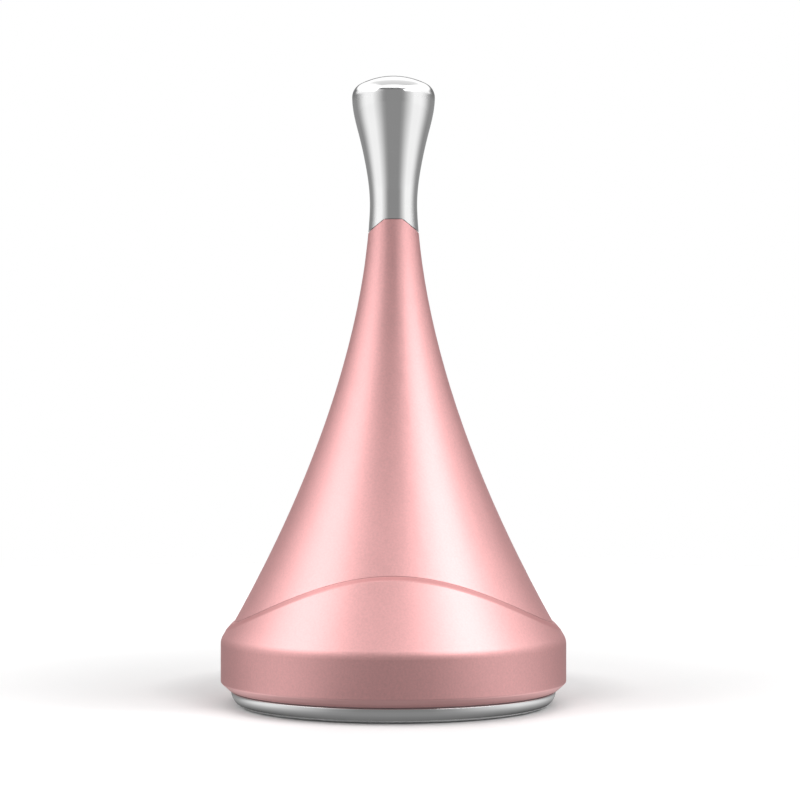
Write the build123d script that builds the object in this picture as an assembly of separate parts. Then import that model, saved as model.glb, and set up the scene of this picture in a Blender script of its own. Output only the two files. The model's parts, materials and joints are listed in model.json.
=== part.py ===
from build123d import *
import math
import os

# Cooling facial massager: a bell-shaped handle with a steel tip above and a cold steel plate below.
# Millimetres. The origin is the centre of the plate's contact face, +Z runs up the handle's axis,
# the front faces -Y, and the button and the charging socket are at the back.

# Bell-shaped handle: a power curve from the neck down to the skirt
overall_height = 126.0
tip_height = 24.2
skirt_inset = 3.18
skirt_height = 17.6
neck_radius = 4.7
flare_power = 1.75
shell_wall = 2.2
lap_depth = 1.0
neck_web_thickness = 2.0

# Foot collar
band_radius = 34.6
band_bottom = 4.8
lip_inset = 1.7
lip_width = 1.4
lip_height = 3.3
lip_round = 0.5
shoulder_round = 3.0
collar_proud = 0.7
collar_ramp_width = 1.0
collar_ramp_drop = 0.6
ledge_width = 2.0
ledge_thickness = 1.0

# Arched step where the collar ends, drawn in the front view and cut straight through
arch_top = 27.55
arch_bow = 5.18
arch_flattening = 0.352
arch_unit = 20.0

# Steel plate under the foot
plate_inset = 0.4
plate_edge_round = 3.0
plate_floor = 2.4
plate_spigot_wall = 2.0
plate_spigot_lap = 0.2
gasket_width = 0.75

# Steel tip
crown_radius = 14.6
knob_radius = 8.3
knob_edge_round = 3.0
throat_radius = 5.8
throat_rise = 7.4
swell_radius = 7.2
swell_rise = 13.4
joint_flat_half_width = 1.8
joint_drop = 4.8
joint_slope_deg = 37.5
joint_gap = 0.1
neck_wall = 1.5
tip_seal_thickness = 0.6
tip_screw_room = 2.8

# Small clearances
glue_gap = 0.05
running_clearance = 0.05
thread_clearance = 0.02
hole_clearance = 0.1
solder_gap = 0.02

# Thermoelectric cooler
module_side = 30.0
ceramic_thickness = 0.8
pellet_height = 2.0
pellet_side = 1.8
pellet_rows = 8
pellet_margin = 1.2
thermal_pad_thickness = 0.3
insulation_gap = 0.5

# Heat sink
sink_clearance = 0.2
sink_slab_thickness = 3.0
sink_slab_clearance = 0.6
sink_screw_inset = 2.5
sink_rim_half_width = 5.0
sink_rim_thickness = 3.0
fin_count = 7
fin_pitch = 4.6
fin_thickness = 1.0
fin_height = 2.0
fin_field_inset = 1.5
fin_drop = 0.4

# Screws: shank radius, head radius, head height
m25_screw = (1.25, 2.1, 1.6)
m16_screw = (0.8, 1.3, 1.0)
screw_slot_width = 0.5
boss_wall = 1.15
pilot_spare = 0.3
sink_screw_length = 9.0
tip_screw_length = 8.5
frame_screw_length = 5.0
board_screw_length = 4.2
switch_screw_length = 4.5
charging_screw_length = 2.2

# Inner frame
frame_base_clearance = 0.4
frame_base_thickness = 1.6
frame_post_radius = 2.5
frame_post_clearance = 1.1
cradle_wall = 1.5
cradle_opening = 11.0
deck_thickness = 1.6
motor_holder_wall = 1.8
switch_arm_width = 3.0
switch_arm_drop = 9.5
switch_arm_rise = 3.0
wire_slot_width = 3.4
lead_slot_width = 10.4
lead_slot_length = 5.4
lead_slot_offset = 4.2

# Battery
battery_radius = 7.0
battery_clearance = 0.1
battery_edge_round = 0.6
battery_nub_radius = 2.7
battery_nub_height = 1.0
battery_pad_thickness = 1.2
tab_thickness = 0.2
tab_width = 4.0
tab_reach = 1.6
tab_clearance = 0.2
tab_room = 0.48
positive_tab_turn = 222.0

# Main circuit board
board_thickness = 1.2
board_width = 18.0
board_drop = 12.0
board_overhang = 1.0
board_gap = 1.1
board_post_half_spacing = 6.0
board_post_radius = 1.8
board_post_inset = 6.0

# Components on the main board: middle across, height above the board's foot, width, height, thickness
controller_place = (0.0, 19.5, 6.0, 6.0, 0.9)
charger_place = (5.2, 12.8, 4.0, 4.0, 0.8)
inductor_place = (-4.8, 12.8, 4.6, 4.6, 2.4)
inductor_edge_round = 1.0
capacitor_size = (1.6, 0.9, 0.8)
capacitor_outer_x = 6.5
capacitor_outer_heights = (17.6, 15.6)
capacitor_inner_x = 1.4
capacitor_inner_heights = (11.2, 8.8)

# Vibration motor
motor_radius = 3.0
motor_length = 12.0
motor_sleeve_wall = 0.5
motor_sleeve_drop = 1.5
motor_shaft_radius = 0.4
motor_shaft_hold = 2.8
weight_radius = 3.0
weight_hub_radius = 1.1
weight_length = 4.0
weight_gap = 1.2
shaft_tail = 0.6

# Button and its switch, measured along the outward normal of the handle's surface
button_height = 38.0
button_radius = 4.2
button_rise = 0.9
button_crown_radius = 16.0
button_travel = 0.5
button_flange_radius = 5.2
button_flange_thickness = 1.0
button_stem_radius = 1.2
button_stem_length = 0.7
button_seal_thickness = 0.7
button_seal_depth = 2.0
light_ring_radius = 5.6
light_ring_rise = 0.15
light_ring_depth = 4.2
skirt_bore_radius = 5.6
skirt_outer_radius = 7.2
skirt_depth = 8.0
switch_board_width = 20.0
switch_board_length = 15.0
switch_board_thickness = 1.0
switch_side = 5.0
switch_body_height = 1.4
plunger_radius = 1.0
plunger_length = 1.2
led_width = 1.8
led_depth = 1.0
led_height = 0.7

# Charging socket
socket_width = 9.0
socket_height = 3.2
socket_length = 7.2
socket_wall = 0.3
socket_recess = 0.4
socket_clearance = 0.15
socket_roundness = 0.45
socket_tongue_width = 6.7
socket_tongue_thickness = 0.7
socket_tongue_length = 4.6
socket_block_length = 1.6
socket_overhang = 4.2
charging_board_width = 15.0
charging_board_length = 9.0
charging_board_thickness = 1.0
charging_board_room = 0.4
charging_screw_half_spacing = 6.2
lug_margin = 1.5
lug_setback = 2.5

# Temperature sensor
sensor_radius = 1.1
sensor_height = 1.4
sensor_x = -3.2

# Wires: where each leaves and how far above the main board's foot, or below its top, it arrives
wire_radius = 0.45
wire_bend = 1.2
wire_stand_off = 3.4
module_lead_xs = (0.6, 3.0)
module_lead_rise = 4.5
module_lead_slant = 3.0
sensor_lead_rise = 2.2
sensor_lead_slant = 2.0
motor_lead_half_spacing = 0.8
top_lead_drop = 2.0
side_reach = 6.0
switch_lead_inset = 5.5
switch_lead_start = 3.0
switch_lead_rise = 10.5
charging_lead_x = -5.0
charging_lead_inset = 1.0
charging_lead_rise = 5.0

# Longer than any piece, for cuts that run right through
far = 200.0

# The bell's two ends
neck_height = overall_height - tip_height
skirt_radius = band_radius - skirt_inset


def handle_radius(height):
    """Outer radius of the bell at a height: a power curve that flares from the neck to the skirt."""
    share = max(neck_height - height, 0.0) / (neck_height - skirt_height)
    return neck_radius + (skirt_radius - neck_radius) * share**flare_power


def handle_slope(height):
    """Change of the bell's radius per millimetre of height."""
    share = max(neck_height - height, 0.0) / (neck_height - skirt_height)
    steepest = flare_power * (skirt_radius - neck_radius) / (neck_height - skirt_height)
    return -steepest * share ** (flare_power - 1)


def height_at(radius):
    """Height at which the bell has a radius."""
    share = ((radius - neck_radius) / (skirt_radius - neck_radius)) ** (1 / flare_power)
    return neck_height - share * (neck_height - skirt_height)


# The foot's radii, from the band inwards
lip_radius = band_radius - lip_inset
collar_bore_radius = lip_radius - lip_width
ledge_radius = collar_bore_radius - ledge_width
plate_radius = lip_radius - plate_inset
plate_spigot_radius = collar_bore_radius - running_clearance
plate_spigot_bore = plate_spigot_radius - plate_spigot_wall
sink_screw_circle = ledge_radius - sink_screw_inset
sink_rim_inner_radius = sink_screw_circle - sink_rim_half_width
fin_field_radius = sink_rim_inner_radius - fin_field_inset
boss_radius = m25_screw[0] + boss_wall
frame_base_radius = sink_screw_circle - boss_radius - frame_base_clearance
lead_slot_middle = -module_side / 2 - lead_slot_offset

# Heights from the plate up to the inner frame
module_bottom = plate_floor + thermal_pad_thickness
pellets_bottom = module_bottom + ceramic_thickness
pellets_top = pellets_bottom + pellet_height
module_top = pellets_top + ceramic_thickness
sink_bottom = module_top + thermal_pad_thickness
plate_spigot_top = sink_bottom + plate_spigot_lap
sink_floor_top = sink_bottom + sink_slab_thickness
ledge_bottom = sink_floor_top + fin_height + fin_drop
ledge_top = ledge_bottom + ledge_thickness
shell_bottom = ledge_top + glue_gap
sink_rim_top = ledge_bottom
sink_rim_bottom = sink_rim_top - sink_rim_thickness
frame_base_top = sink_rim_top + frame_base_thickness

# The cell is as long as the bell's inside leaves room for beside its upper strip
negative_tab_bottom = frame_base_top + battery_pad_thickness
battery_bottom = negative_tab_bottom + tab_thickness
cradle_bore = battery_radius + battery_clearance
cradle_radius = cradle_bore + cradle_wall
positive_tab_bottom = height_at(cradle_radius + tab_reach + tab_room + shell_wall)
battery_top = positive_tab_bottom - battery_nub_height
deck_bottom = positive_tab_bottom + tab_thickness + tab_clearance
deck_top = deck_bottom + deck_thickness

# The vibration motor, its weight and the steel tip's spigot
spigot_radius = neck_radius - neck_wall
joint_flat_height = neck_height - joint_drop
motor_bottom = deck_top + tab_clearance
motor_top = motor_bottom + motor_length
holder_bore = motor_radius + motor_sleeve_wall + hole_clearance
holder_radius = holder_bore + motor_holder_wall
weight_bottom = motor_top + weight_gap
weight_top = weight_bottom + weight_length
shaft_top = weight_top + shaft_tail
web_bottom = shaft_top + tip_screw_room + m25_screw[2]
spigot_bottom = web_bottom + neck_web_thickness + joint_gap
tip_seal_height = (spigot_bottom + joint_flat_height) / 2
board_back = cradle_radius + board_gap
board_front = board_back + board_thickness
board_bottom = battery_bottom - board_overhang
board_top = battery_top - board_drop
socket_middle = (band_bottom + ledge_top) / 2
charging_board_bottom = socket_middle + socket_height / 2
lug_bottom = charging_board_bottom + charging_board_thickness
socket_mouth = band_radius - socket_recess
charging_board_back = socket_mouth - socket_overhang
charging_board_front = charging_board_back - charging_board_length
charging_screw_y = (charging_board_back + charging_board_front) / 2
charging_screw_xs = (-charging_screw_half_spacing, charging_screw_half_spacing)
frame_post_reach = frame_post_radius + frame_post_clearance
frame_post_circle = charging_board_front - charging_board_room - frame_post_reach

# The button's own frame: its origin on the handle's surface, its z along the outward normal
button_tilt = math.atan(-handle_slope(button_height))
button_plane = Plane(
    origin=(0, handle_radius(button_height), button_height),
    x_dir=(-1, 0, 0),
    z_dir=(0, math.cos(button_tilt), math.sin(button_tilt)),
)
switch_board_top = -skirt_depth
switch_board_bottom = switch_board_top - switch_board_thickness
button_flange_top = -light_ring_depth - hole_clearance
button_flange_bottom = button_flange_top - button_flange_thickness
plunger_top = button_flange_bottom - button_stem_length
switch_screw_x = (skirt_outer_radius + switch_board_width / 2) / 2


def bell_curve(bottom, top, offset=0.0, stations=9):
    """The bell's outline between two heights, moved out by an offset in radius."""
    heights = [bottom + (top - bottom) * index / (stations - 1) for index in range(stations)]
    return Spline(*[(handle_radius(height) + offset, 0, height) for height in heights])


def turned(*edges):
    """A full turn of a closed outline drawn in the XZ plane."""
    return revolve(make_face(list(edges)), Axis.Z)


def disc(radius, bottom, top, x=0.0, y=0.0):
    """An upright cylinder between two heights."""
    base = (Align.CENTER, Align.CENTER, Align.MIN)
    return Pos(x, y, bottom) * Cylinder(radius, top - bottom, align=base)


def ring(radius, bore, bottom, top):
    """An upright tube between two heights."""
    return disc(radius, bottom, top) - disc(bore, bottom - 1, top + 1)


def block(x_span, y_span, z_span):
    """A box between two values on each axis."""
    spans = (x_span, y_span, z_span)
    size = [high - low for low, high in spans]
    centre = [(high + low) / 2 for low, high in spans]
    return Pos(*centre) * Box(*size)


def wide(width, middle=0.0):
    """The two ends of a width about its middle."""
    return (middle - width / 2, middle + width / 2)


def bell_solid(bottom, top, offset=0.0):
    """The space inside the bell's outline, moved out by an offset in radius."""
    wall = bell_curve(bottom, top, offset)
    rest = Polyline(wall @ 1, (0, 0, top), (0, 0, bottom), wall @ 0)
    return turned(wall, rest)


def arch_height(x):
    """Height of the arched step over a distance from the middle of the front view."""
    share = (x / arch_unit) ** 2
    return arch_top - arch_bow * share + arch_flattening * share**2


def under_arch(drop=0.0):
    """Everything below the arched step, less a drop, as a block that runs straight through."""
    reach = band_radius + 3
    stations = 17
    xs = [-reach + 2 * reach * index / (stations - 1) for index in range(stations)]
    crest = Spline(*[(x, -reach, arch_height(x) - drop) for x in xs])
    rest = Polyline(crest @ 1, (reach, -reach, -1), (-reach, -reach, -1), crest @ 0)
    return extrude(make_face([crest, rest]), 2 * reach, dir=(0, 1, 0))


def above_joint(lift=0.0):
    """Everything above the trapezoid line where the steel tip leaves the neck, raised by a lift."""
    reach = 3 * neck_radius
    flat = joint_flat_half_width
    crest = joint_flat_height + lift
    foot = crest - (reach - flat) * math.tan(math.radians(joint_slope_deg))
    top = overall_height + 1
    points = [(-reach, foot), (-flat, crest), (flat, crest), (reach, foot), (reach, top), (-reach, top)]
    outline = Polyline(*[(x, -reach, height) for x, height in points], close=True)
    return extrude(make_face(outline), 2 * reach, dir=(0, 1, 0))


def screw(size, length):
    """A screw that points down -Z from the origin under its head, with a cross recess."""
    shank, head, head_height = size
    body = disc(shank, -length, 0) + disc(head, 0, head_height)
    slot = block(wide(1.3 * head), wide(screw_slot_width), (0.5 * head_height, head_height + 1))
    return body - slot - Rot(0, 0, 90) * slot


def at_button(shape):
    """Moves a shape from the button's own frame onto the handle."""
    return button_plane.location * shape


def sink_screw_places():
    """Centres of the heat sink's screws."""
    turns = [math.radians(45 + 90 * index) for index in range(4)]
    return [(sink_screw_circle * math.cos(turn), sink_screw_circle * math.sin(turn)) for turn in turns]


def frame_post_places():
    """Centres of the posts that the inner frame is screwed to."""
    turns = [math.radians(90 + 120 * index) for index in range(3)]
    return [(frame_post_circle * math.cos(turn), frame_post_circle * math.sin(turn)) for turn in turns]


def board_post_places():
    """Centres of the main board's posts in the front view."""
    xs = (-board_post_half_spacing, board_post_half_spacing)
    heights = (board_bottom + board_post_inset, board_top - board_post_inset)
    return [(x, height) for x in xs for height in heights]


def socket_bar(width, height, start, length):
    """A bar with rounded sides along +Y on the charging socket's axis."""
    face = Plane(origin=(0, start, socket_middle), x_dir=(1, 0, 0), z_dir=(0, 1, 0))
    return extrude(face * RectangleRounded(width, height, socket_roundness * height), length)


def lead_slot(bottom, top):
    """The slot at the front that the cooler's and the sensor's leads rise through."""
    return block(wide(lead_slot_width), wide(lead_slot_length, lead_slot_middle), (bottom, top))


def charging_notch(bottom, top):
    """The notch at the back that the charging board stands in."""
    width = charging_board_width + 2 * lug_margin + 2 * charging_board_room
    return block(wide(width), (charging_board_front - charging_board_room, far), (bottom, top))


def make_handle_shell():
    """The bell: a thin wall, a web under the neck, four screw bosses and a lap for the collar."""
    shell = bell_solid(shell_bottom, joint_flat_height + 1)
    shell -= bell_solid(shell_bottom - 1, web_bottom, -shell_wall)
    lap_span = (shell_bottom - 1, arch_top + 1)
    lap = bell_solid(*lap_span, 1) - bell_solid(*lap_span, -lap_depth)
    shell -= lap & under_arch()
    within = bell_solid(sink_rim_top, 2 * sink_rim_top, -(shell_wall + lap_depth) / 2)
    pilot_top = sink_rim_bottom + sink_screw_length + pilot_spare
    for x, y in sink_screw_places():
        shell += disc(boss_radius, sink_rim_top, 2 * sink_rim_top, x, y) & within
        shell -= disc(m25_screw[0] + thread_clearance, 0, pilot_top, x, y)
    shell -= above_joint()
    shell -= disc(spigot_radius + running_clearance, spigot_bottom - joint_gap, overall_height)
    shell -= disc(m25_screw[0] + hole_clearance, web_bottom - 1, overall_height)
    shell -= at_button(disc(light_ring_radius + running_clearance, -skirt_depth, light_ring_depth))
    return shell


def round_circle(solid, radius, height, size):
    """Rounds the solid's circular edge that has a radius and lies at a height."""
    circles = solid.edges().filter_by(GeomType.CIRCLE)
    nearest = circles.sort_by(lambda edge: abs(edge.radius - radius) + abs(edge.center().Z - height))[0]
    return fillet(nearest, size)


def on_arch(edge, drop):
    """Whether an edge of the collar is the outer edge of its arched step."""
    places = [edge @ share for share in (0.15, 0.5, 0.85)]
    level = all(abs(place.Z - arch_height(place.X) + drop) < 0.1 for place in places)
    surface = [handle_radius(place.Z) + collar_proud for place in places]
    outside = all(abs(math.hypot(place.X, place.Y) - radius) < 0.1 for place, radius in zip(places, surface))
    return level and outside


def make_base_collar():
    """The foot band: bevelled lip, inner ledge, socket lug and two arched tongues with a sloped step."""
    reach = arch_top + 2
    corner = height_at(band_radius - collar_proud)
    outer = bell_curve(corner, reach, collar_proud)
    inner = bell_curve(ledge_top, reach, glue_gap - lap_depth)
    foot = Polyline(
        (collar_bore_radius, 0, lip_height),
        (lip_radius, 0, lip_height),
        (band_radius, 0, band_bottom),
        outer @ 0,
    )
    inside = Polyline(
        inner @ 0,
        (ledge_radius, 0, ledge_top),
        (ledge_radius, 0, ledge_bottom),
        (collar_bore_radius, 0, ledge_bottom),
        (collar_bore_radius, 0, lip_height),
    )
    collar = turned(foot, outer, Line(outer @ 1, inner @ 1), inner, inside)
    collar = round_circle(collar, lip_radius, lip_height, lip_round)
    collar = round_circle(collar, band_radius, band_bottom, lip_round)
    collar = round_circle(collar, band_radius, corner, shoulder_round)
    collar &= under_arch(glue_gap)
    step = [edge for edge in collar.edges() if on_arch(edge, glue_gap)]
    beside = [face for face in collar.faces() if any(step[0].is_same(side) for side in face.edges())]
    outside = max(beside, key=lambda face: face.area)
    collar = chamfer(step, collar_ramp_width, collar_ramp_drop, reference=outside)
    lug_y = (charging_board_front + lug_setback, band_radius)
    lug = block(wide(charging_board_width + 2 * lug_margin), lug_y, (lug_bottom, ledge_top))
    collar += lug & disc((collar_bore_radius + band_radius) / 2, 0, ledge_top)
    collar -= socket_bar(
        socket_width + 2 * socket_clearance,
        socket_height + 2 * socket_clearance,
        socket_mouth - socket_length,
        far,
    )
    for x in charging_screw_xs:
        depth = charging_board_bottom + charging_screw_length + pilot_spare
        collar -= disc(m16_screw[0] + thread_clearance, charging_board_bottom, depth, x, charging_screw_y)
    return collar


def make_cooling_plate():
    """The steel dish: a flat contact face with a rounded edge, and a spigot that seats in the collar."""
    flat = plate_radius - plate_edge_round
    middle = plate_edge_round * math.sin(math.radians(45))
    edge = ThreePointArc(
        (flat, 0, 0),
        (flat + middle, 0, plate_edge_round - middle),
        (plate_radius, 0, plate_edge_round),
    )
    rest = Polyline(
        (plate_radius, 0, plate_edge_round),
        (plate_spigot_radius, 0, plate_edge_round),
        (plate_spigot_radius, 0, plate_spigot_top),
        (plate_spigot_bore, 0, plate_spigot_top),
        (plate_spigot_bore, 0, plate_floor),
        (0, 0, plate_floor),
        (0, 0, 0),
        (flat, 0, 0),
    )
    return turned(edge, rest)


def make_plate_gasket():
    """A flat seal between the plate's flange and the collar's lip."""
    bore = collar_bore_radius + thread_clearance
    return ring(bore + gasket_width, bore, plate_edge_round, lip_height)


def crown_point(turn):
    """A point of the knob's domed top, by its angle above the level at the dome's centre."""
    centre = overall_height - crown_radius
    return (crown_radius * math.cos(turn), 0, centre + crown_radius * math.sin(turn))


def make_massage_tip():
    """The steel tip: a waisted stem, a domed knob, and a spigot with a threaded hole and a seal groove."""
    crown_centre = overall_height - crown_radius
    round_centre = knob_radius - knob_edge_round
    inner_reach = crown_radius - knob_edge_round
    knob_height = crown_centre + math.sqrt(inner_reach**2 - round_centre**2)
    meeting_turn = math.atan2(knob_height - crown_centre, round_centre)
    meeting = crown_point(meeting_turn)
    knob_side = (knob_radius, 0, knob_height)
    low = (spigot_bottom + joint_flat_height) / 2
    high = joint_flat_height + 2
    stem = Spline(
        *[(handle_radius(height), 0, height) for height in (low, (low + high) / 2, high)],
        (throat_radius, 0, neck_height + throat_rise),
        (swell_radius, 0, neck_height + swell_rise),
        knob_side,
        tangents=[(handle_slope(low), 0, 1), (0, 0, 1)],
    )
    half = meeting_turn / 2
    round_middle = (
        round_centre + knob_edge_round * math.cos(half),
        0,
        knob_height + knob_edge_round * math.sin(half),
    )
    crown_middle = crown_point((meeting_turn + math.pi / 2) / 2)
    edge = ThreePointArc(knob_side, round_middle, meeting)
    crown = ThreePointArc(meeting, crown_middle, (0, 0, overall_height))
    axis = Polyline((0, 0, overall_height), (0, 0, low), stem @ 0)
    tip = turned(stem, edge, crown, axis) & above_joint(joint_gap)
    tip += disc(spigot_radius, spigot_bottom, high)
    hole_top = web_bottom + tip_screw_length + pilot_spare
    tip -= disc(m25_screw[0] + thread_clearance, spigot_bottom - 1, hole_top)
    groove_floor = spigot_radius - tip_seal_thickness
    groove_span = wide(tip_seal_thickness + hole_clearance, tip_seal_height)
    return tip - ring(neck_radius, groove_floor, *groove_span)


def make_tip_seal():
    """An O-ring in the spigot's groove."""
    half = tip_seal_thickness / 2
    return Pos(0, 0, tip_seal_height) * Torus(spigot_radius + thread_clearance - half, half)


def make_tip_screw():
    """The screw that pulls the tip down on the neck from inside."""
    return Pos(0, 0, web_bottom) * Rot(180, 0, 0) * screw(m25_screw, tip_screw_length)


def make_cooler():
    """The thermoelectric cooler: pellets between two ceramics, with a thermal pad on each side."""
    side = wide(module_side)
    pitch = (module_side - 2 * pellet_margin) / pellet_rows
    centres = [pitch * (index - (pellet_rows - 1) / 2) for index in range(pellet_rows)]
    pellet = block(wide(pellet_side), wide(pellet_side), (pellets_bottom, pellets_top))
    return {
        "cold_thermal_pad": block(side, side, (plate_floor, module_bottom)),
        "module_cold_ceramic": block(side, side, (module_bottom, pellets_bottom)),
        "module_pellets": Part() + [Pos(x, y, 0) * pellet for x in centres for y in centres],
        "module_hot_ceramic": block(side, side, (pellets_top, module_top)),
        "hot_thermal_pad": block(side, side, (module_top, sink_bottom)),
    }


def make_insulation_ring():
    """Foam round the cooler, between the cold plate and the heat sink."""
    foam = disc(plate_spigot_bore - 4 * running_clearance, plate_floor + glue_gap, sink_bottom - glue_gap)
    side = wide(module_side + 2 * insulation_gap)
    foam -= block(side, side, (0, sink_bottom))
    link = (lead_slot_middle - lead_slot_length / 2, -module_side / 2)
    return foam - block(wide(lead_slot_width), link, (0, sink_bottom))


def make_heat_sink():
    """A finned aluminium disc with a rim that meets the collar's ledge and the shell's bosses."""
    sink = disc(plate_spigot_bore - sink_slab_clearance, sink_bottom, sink_floor_top)
    sink += ring(collar_bore_radius - sink_clearance, sink_rim_inner_radius, sink_rim_bottom, sink_rim_top)
    root = sink_floor_top - fin_thickness / 2
    field = disc(fin_field_radius, root, sink_rim_top - fin_drop)
    for index in range(fin_count):
        middle = fin_pitch * (index - (fin_count - 1) / 2)
        sink += block(wide(far), wide(fin_thickness, middle), (root, sink_rim_top)) & field
    pilot_bottom = frame_base_top - frame_screw_length - pilot_spare
    for x, y in frame_post_places():
        sink += disc(frame_post_radius, root, sink_rim_top, x, y)
        sink -= disc(m25_screw[0] + thread_clearance, pilot_bottom, sink_rim_top + 1, x, y)
    for x, y in sink_screw_places():
        sink -= disc(m25_screw[0] + hole_clearance, 0, sink_rim_top + 1, x, y)
        sink -= disc(m25_screw[1] + 3 * hole_clearance, 0, sink_rim_bottom, x, y)
    return sink - lead_slot(0, far) - charging_notch(0, far)


def make_heat_sink_screws():
    """Four screws, heads down, through the heat sink into the shell's bosses."""
    one = Rot(180, 0, 0) * screw(m25_screw, sink_screw_length)
    return Part() + [Pos(x, y, sink_rim_bottom) * one for x, y in sink_screw_places()]


def make_inner_frame():
    """The moulded frame: a base disc, the battery cradle, the motor holder, board posts and switch arms."""
    frame = disc(frame_base_radius, sink_rim_top, frame_base_top)
    frame += disc(cradle_radius, sink_rim_top, deck_top)
    frame += disc(holder_radius, deck_bottom, motor_top - hole_clearance)
    for x, height in board_post_places():
        start = Plane(origin=(x, -battery_radius / 2, height), z_dir=(0, -1, 0))
        frame += extrude(start * Circle(board_post_radius), board_back - battery_radius / 2)
    behind_board = at_button(block(wide(far), wide(far), (-far, switch_board_bottom)))
    arm_heights = (button_height - switch_arm_drop, button_height + switch_arm_rise)
    for x in (-switch_screw_x, switch_screw_x):
        frame += block(wide(switch_arm_width, x), (-battery_radius / 2, far), arm_heights) & behind_board
    frame -= disc(cradle_bore, frame_base_top, deck_bottom)
    frame -= block(wide(cradle_opening), (0, 2 * cradle_radius), (frame_base_top, deck_bottom))
    frame -= disc(holder_bore, deck_top, far)
    frame -= lead_slot(0, frame_base_top + 1) + charging_notch(0, frame_base_top + 1)
    for x, y in frame_post_places():
        frame -= disc(m25_screw[0] + hole_clearance, 0, frame_base_top + 1, x, y)
    frame -= make_wire_ways()
    frame -= make_board_screws(thread_clearance)
    return frame - make_switch_board_screws(thread_clearance)


def make_wire_ways():
    """The frame's slots for the motor's leads and the battery's two strips."""
    slot = wide(wire_slot_width)
    wall = (-cradle_radius - 1, -battery_radius)
    holder = (-2 * holder_radius, -motor_radius)
    strip = wide(tab_width + 2 * tab_clearance)
    ways = block(slot, wall, (board_top - wire_slot_width, deck_top + 1))
    ways += block(slot, holder, (deck_top - wire_radius, motor_bottom + wire_slot_width / 2))
    ways += block(strip, (-far, 0), (frame_base_top, battery_bottom + tab_clearance))
    high = block((0, far), strip, (positive_tab_bottom - tab_width / 2, deck_bottom))
    return ways + Rot(0, 0, positive_tab_turn) * high


def make_frame_screws():
    """Three screws down through the frame's base into the heat sink's posts."""
    one = screw(m25_screw, frame_screw_length)
    return Part() + [Pos(x, y, frame_base_top) * one for x, y in frame_post_places()]


def make_battery():
    """The cell, the foam under it, and the two welded strips."""
    cell = disc(battery_radius, battery_bottom, battery_top)
    cell = fillet(cell.edges().filter_by(GeomType.CIRCLE), battery_edge_round)
    cell += disc(battery_nub_radius, battery_top - battery_edge_round, positive_tab_bottom)
    strip = wide(tab_width)
    negative = block(strip, (-board_back, battery_radius / 2), (negative_tab_bottom, battery_bottom))
    strip_heights = (positive_tab_bottom, positive_tab_bottom + tab_thickness)
    positive = block((-battery_nub_radius, cradle_radius + tab_reach), strip, strip_heights)
    return {
        "battery_cell": cell,
        "battery_pad": disc(battery_radius, frame_base_top, negative_tab_bottom),
        "battery_negative_tab": negative,
        "battery_positive_tab": Rot(0, 0, positive_tab_turn) * positive,
    }


def front_part(x, rise, width, tall, thick):
    """A component on the front face of the main board, by its height above the board's foot."""
    depth = (-board_front - thick, -board_front)
    return block(wide(width, x), depth, wide(tall, board_bottom + rise))


def make_main_board():
    """The main circuit board with its screw holes."""
    board = block(wide(board_width), (-board_front, -board_back), (board_bottom, board_top))
    return board - make_board_screws(hole_clearance)


def make_board_parts():
    """The chips, the inductor and a group of capacitors on the main board."""
    outer_xs = (-capacitor_outer_x, capacitor_outer_x)
    places = [(x, rise) for x in outer_xs for rise in capacitor_outer_heights]
    places += [(capacitor_inner_x, rise) for rise in capacitor_inner_heights]
    inductor = front_part(*inductor_place)
    return {
        "controller_chip": front_part(*controller_place),
        "charge_chip": front_part(*charger_place),
        "power_inductor": fillet(inductor.edges().filter_by(Axis.Y), inductor_edge_round),
        "board_capacitors": Part() + [front_part(*place, *capacitor_size) for place in places],
    }


def make_board_screws(gap=0.0):
    """Four screws through the main board into the frame's posts, or their holes with a gap."""
    shank, head, head_height = m16_screw
    one = Rot(90, 0, 0) * screw((shank + gap, head, head_height), board_screw_length + gap)
    return Part() + [Pos(x, -board_front, height) * one for x, height in board_post_places()]


def make_switch_board():
    """The small board behind the button."""
    height = (switch_board_bottom, switch_board_top)
    board = at_button(block(wide(switch_board_width), wide(switch_board_length), height))
    return board - make_switch_board_screws(hole_clearance)


def make_switch_board_screws(gap=0.0):
    """Two screws through the switch board into the frame's arms, or their holes with a gap."""
    shank, head, head_height = m16_screw
    one = screw((shank + gap, head, head_height), switch_screw_length + gap)
    return at_button(Part() + [Pos(x, 0, switch_board_top) * one for x in (-switch_screw_x, switch_screw_x)])


def make_switch():
    """The push switch: its body, with a bore for the plunger, and the plunger."""
    body_top = switch_board_top + switch_body_height
    bore_floor = plunger_top - plunger_length - button_travel - hole_clearance
    body = block(wide(switch_side), wide(switch_side), (switch_board_top, body_top))
    body -= disc(plunger_radius + running_clearance, bore_floor, body_top + 1)
    plunger = disc(plunger_radius, plunger_top - plunger_length, plunger_top)
    return {"switch_body": at_button(body), "switch_plunger": at_button(plunger)}


def make_button():
    """The crowned cap with its stop flange and stem, and the O-ring in its groove."""
    cap = disc(button_radius, button_flange_bottom, 2 * button_rise)
    cap &= Pos(0, 0, button_rise - button_crown_radius) * Sphere(button_crown_radius)
    cap += disc(button_flange_radius, button_flange_bottom, button_flange_top)
    cap += disc(button_stem_radius, plunger_top, button_flange_bottom)
    seal_radius = button_radius + running_clearance - thread_clearance
    groove_floor = seal_radius - button_seal_thickness - thread_clearance
    groove_span = wide(button_seal_thickness + hole_clearance, -button_seal_depth)
    cap -= ring(button_flange_radius, groove_floor, *groove_span)
    half = button_seal_thickness / 2
    seal = Pos(0, 0, -button_seal_depth) * Torus(seal_radius - half, half)
    return {"button_cap": at_button(cap), "button_seal": at_button(seal)}


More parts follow.
